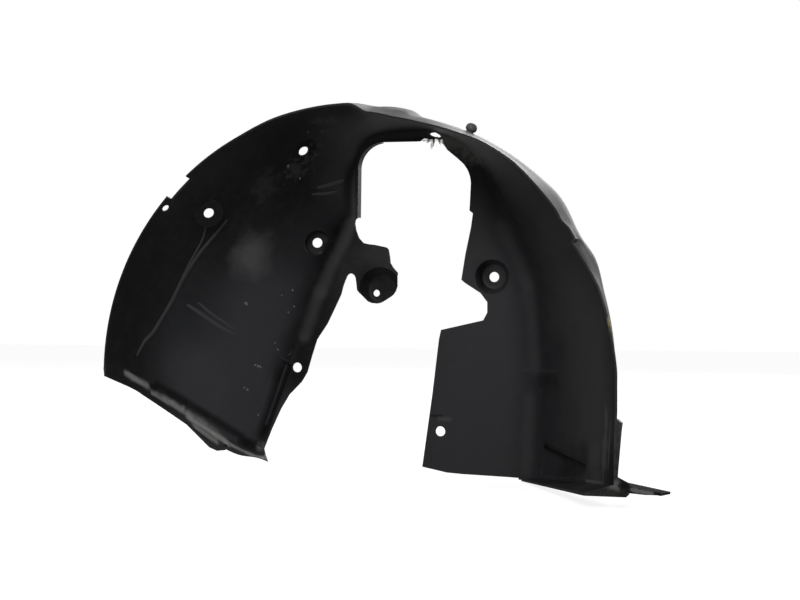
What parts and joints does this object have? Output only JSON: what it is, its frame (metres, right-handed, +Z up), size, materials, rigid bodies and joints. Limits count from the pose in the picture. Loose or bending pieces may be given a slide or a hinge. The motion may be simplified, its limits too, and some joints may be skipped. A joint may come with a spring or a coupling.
{
  "type": "wheel arch liner",
  "caption": "Moulded black plastic wheel arch liner with an opening for the suspension strut, sunk screw seats, a turned ledge at the front foot and a foot plate with a tab at the rear.",
  "frame": {"origin": "on the wheel's axle line, in the plane of the outboard lip", "axes": "+Z up, +Y from the outboard lip toward the middle of the car along the axle, +X from the front of the arch toward its rear as the picture shows it"},
  "size_m": [0.7605, 0.2776, 0.5177],
  "materials": {
    "liner": "matte moulded black"
  },
  "bodies": {
    "root": {"liner": "liner"}
  },
  "joints": []
}
